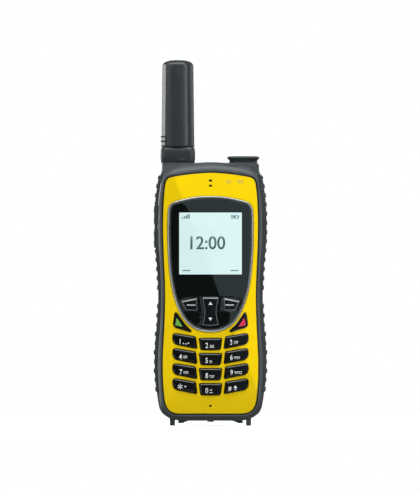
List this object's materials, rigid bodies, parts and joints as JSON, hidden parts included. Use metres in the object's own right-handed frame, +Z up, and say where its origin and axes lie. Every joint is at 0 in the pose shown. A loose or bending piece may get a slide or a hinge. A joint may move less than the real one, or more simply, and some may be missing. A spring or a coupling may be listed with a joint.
{
  "type": "satellite phone",
  "caption": "Rugged yellow and grey satellite handset with a keypad, square display, side grips, a thick antenna that slides and tilts, and a capped emergency button.",
  "frame": {"origin": "bottom centre of the bounding box, on the plane the two feet stand on", "axes": "+Z up along the handset, front face towards -Y, the antenna on the -X side"},
  "size_m": [0.06, 0.027, 0.1927],
  "materials": {
    "housing_grey": "textured",
    "grip_rubber": "matte",
    "plate_yellow": "gloss",
    "trim_silver": "metallised",
    "lens_black": "gloss",
    "lcd_pale": "satin",
    "key_black": "gloss",
    "antenna_grey": "satin",
    "board_green": "satin",
    "shield_steel": "satin",
    "silicone_grey": "matte",
    "contact_gold": "satin",
    "battery_black": "textured",
    "cell_wrap": "satin",
    "sos_red": "gloss",
    "steel": "satin",
    "patch_ceramic": "matte",
    "seal_black": "matte"
  },
  "bodies": {
    "housing": {"front_housing": "housing_grey", "faceplate": "plate_yellow", "lens_bezel": "trim_silver", "display_lens": "lens_black", "lcd_panel": "lcd_pale", "lcd_backlight": "silicone_grey", "keypad_mat": "silicone_grey", "dome_sheet": "steel", "main_board": "board_green", "rf_shield": "shield_steel", "baseband_shield": "shield_steel", "earpiece": "steel", "microphone": "steel", "rear_housing": "housing_grey", "housing_seal": "seal_black", "side_grip_left": "grip_rubber", "side_grip_right": "grip_rubber", "housing_screw_1": "steel", "housing_screw_2": "steel", "housing_screw_3": "steel", "housing_screw_4": "steel", "antenna_contact": "contact_gold", "sos_hinge_pin": "steel", "battery_contacts": "contact_gold", "sim_holder": "shield_steel", "sim_card": "cell_wrap", "loudspeaker": "shield_steel", "gps_patch": "patch_ceramic", "dock_connector": "contact_gold"},
    "key_1": {"key_1": "key_black"},
    "key_2": {"key_2": "key_black"},
    "key_3": {"key_3": "key_black"},
    "key_4": {"key_4": "key_black"},
    "key_5": {"key_5": "key_black"},
    "key_6": {"key_6": "key_black"},
    "key_7": {"key_7": "key_black"},
    "key_8": {"key_8": "key_black"},
    "key_9": {"key_9": "key_black"},
    "key_star": {"key_star": "key_black"},
    "key_0": {"key_0": "key_black"},
    "key_hash": {"key_hash": "key_black"},
    "call_key": {"call_key": "key_black"},
    "end_key": {"end_key": "key_black"},
    "softkey_left": {"softkey_left": "key_black"},
    "softkey_right": {"softkey_right": "key_black"},
    "nav_key": {"nav_key": "key_black"},
    "power_button": {"power_button": "key_black"},
    "volume_up": {"volume_up": "grip_rubber"},
    "volume_down": {"volume_down": "grip_rubber"},
    "sos_cover": {"sos_cover": "antenna_grey"},
    "sos_button": {"sos_button": "sos_red"},
    "antenna_carriage": {"antenna_carriage": "antenna_grey", "antenna_pivot_pin": "steel"},
    "antenna_head": {"antenna_knuckle": "antenna_grey", "antenna_mast": "antenna_grey", "antenna_helix": "contact_gold"},
    "battery_pack": {"battery_cover": "battery_black", "battery_cell": "cell_wrap"},
    "battery_latch": {"battery_latch": "grip_rubber"},
    "port_cover": {"port_cover": "grip_rubber"}
  },
  "joints": [
    {"name": "key_1_press", "type": "slide", "parent": "housing", "child": "key_1", "axis": [0, 1, 0], "range_m": [0, 0.0006], "stiffness_N_per_m": 1500, "springref_m": -0.0003},
    {"name": "key_2_press", "type": "slide", "parent": "housing", "child": "key_2", "axis": [0, 1, 0], "range_m": [0, 0.0006], "stiffness_N_per_m": 1500, "springref_m": -0.0003},
    {"name": "key_3_press", "type": "slide", "parent": "housing", "child": "key_3", "axis": [0, 1, 0], "range_m": [0, 0.0006], "stiffness_N_per_m": 1500, "springref_m": -0.0003},
    {"name": "key_4_press", "type": "slide", "parent": "housing", "child": "key_4", "axis": [0, 1, 0], "range_m": [0, 0.0006], "stiffness_N_per_m": 1500, "springref_m": -0.0003},
    {"name": "key_5_press", "type": "slide", "parent": "housing", "child": "key_5", "axis": [0, 1, 0], "range_m": [0, 0.0006], "stiffness_N_per_m": 1500, "springref_m": -0.0003},
    {"name": "key_6_press", "type": "slide", "parent": "housing", "child": "key_6", "axis": [0, 1, 0], "range_m": [0, 0.0006], "stiffness_N_per_m": 1500, "springref_m": -0.0003},
    {"name": "key_7_press", "type": "slide", "parent": "housing", "child": "key_7", "axis": [0, 1, 0], "range_m": [0, 0.0006], "stiffness_N_per_m": 1500, "springref_m": -0.0003},
    {"name": "key_8_press", "type": "slide", "parent": "housing", "child": "key_8", "axis": [0, 1, 0], "range_m": [0, 0.0006], "stiffness_N_per_m": 1500, "springref_m": -0.0003},
    {"name": "key_9_press", "type": "slide", "parent": "housing", "child": "key_9", "axis": [0, 1, 0], "range_m": [0, 0.0006], "stiffness_N_per_m": 1500, "springref_m": -0.0003},
    {"name": "key_star_press", "type": "slide", "parent": "housing", "child": "key_star", "axis": [0, 1, 0], "range_m": [0, 0.0006], "stiffness_N_per_m": 1500, "springref_m": -0.0003},
    {"name": "key_0_press", "type": "slide", "parent": "housing", "child": "key_0", "axis": [0, 1, 0], "range_m": [0, 0.0006], "stiffness_N_per_m": 1500, "springref_m": -0.0003},
    {"name": "key_hash_press", "type": "slide", "parent": "housing", "child": "key_hash", "axis": [0, 1, 0], "range_m": [0, 0.0006], "stiffness_N_per_m": 1500, "springref_m": -0.0003},
    {"name": "call_key_press", "type": "slide", "parent": "housing", "child": "call_key", "axis": [0, 1, 0], "range_m": [0, 0.0006], "stiffness_N_per_m": 1500, "springref_m": -0.0003},
    {"name": "end_key_press", "type": "slide", "parent": "housing", "child": "end_key", "axis": [0, 1, 0], "range_m": [0, 0.0006], "stiffness_N_per_m": 1500, "springref_m": -0.0003},
    {"name": "softkey_left_press", "type": "slide", "parent": "housing", "child": "softkey_left", "axis": [0, 1, 0], "range_m": [0, 0.0006], "stiffness_N_per_m": 1500, "springref_m": -0.0003},
    {"name": "softkey_right_press", "type": "slide", "parent": "housing", "child": "softkey_right", "axis": [0, 1, 0], "range_m": [0, 0.0006], "stiffness_N_per_m": 1500, "springref_m": -0.0003},
    {"name": "nav_key_rock", "type": "hinge", "parent": "housing", "child": "nav_key", "pos_m": [0, -0.0116, 0.0601], "axis": [1, 0, 0], "range_deg": [-3.5, 3.5], "stiffness_Nm_per_rad": 0.06},
    {"name": "power_button_press", "type": "slide", "parent": "housing", "child": "power_button", "axis": [0, 0, -1], "range_m": [0, 0.0006], "stiffness_N_per_m": 1500, "springref_m": -0.0003},
    {"name": "volume_up_press", "type": "slide", "parent": "housing", "child": "volume_up", "axis": [1, 0, 0], "range_m": [0, 0.0006], "stiffness_N_per_m": 1500, "springref_m": -0.0003},
    {"name": "volume_down_press", "type": "slide", "parent": "housing", "child": "volume_down", "axis": [1, 0, 0], "range_m": [0, 0.0006], "stiffness_N_per_m": 1500, "springref_m": -0.0003},
    {"name": "sos_cover_hinge", "type": "hinge", "parent": "housing", "child": "sos_cover", "pos_m": [0.0173, 0.0125, 0.1392], "axis": [-1, 0, 0], "range_deg": [0, 100]},
    {"name": "sos_button_press", "type": "slide", "parent": "housing", "child": "sos_button", "axis": [0, 0, -1], "range_m": [0, 0.001], "stiffness_N_per_m": 1500, "springref_m": -0.0003},
    {"name": "antenna_slide", "type": "slide", "parent": "housing", "child": "antenna_carriage", "axis": [0, 0, 1], "range_m": [-0.046, 0]},
    {"name": "antenna_tilt", "type": "hinge", "parent": "antenna_carriage", "child": "antenna_head", "pos_m": [-0.0172, 0.0071, 0.1415], "axis": [0, -1, 0], "range_deg": [0, 45]},
    {"name": "battery_pack_slide", "type": "slide", "parent": "housing", "child": "battery_pack", "axis": [0, 1, 0], "range_m": [0, 0.015]},
    {"name": "battery_latch_slide", "type": "slide", "parent": "housing", "child": "battery_latch", "axis": [0, 0, 1], "range_m": [0, 0.002], "stiffness_N_per_m": 800, "springref_m": -0.0003},
    {"name": "port_cover_hinge", "type": "hinge", "parent": "housing", "child": "port_cover", "pos_m": [0, 0.0074, 0.00315], "axis": [1, 0, 0], "range_deg": [0, 70], "stiffness_Nm_per_rad": 0.0006, "springref_deg": -17.19}
  ]
}
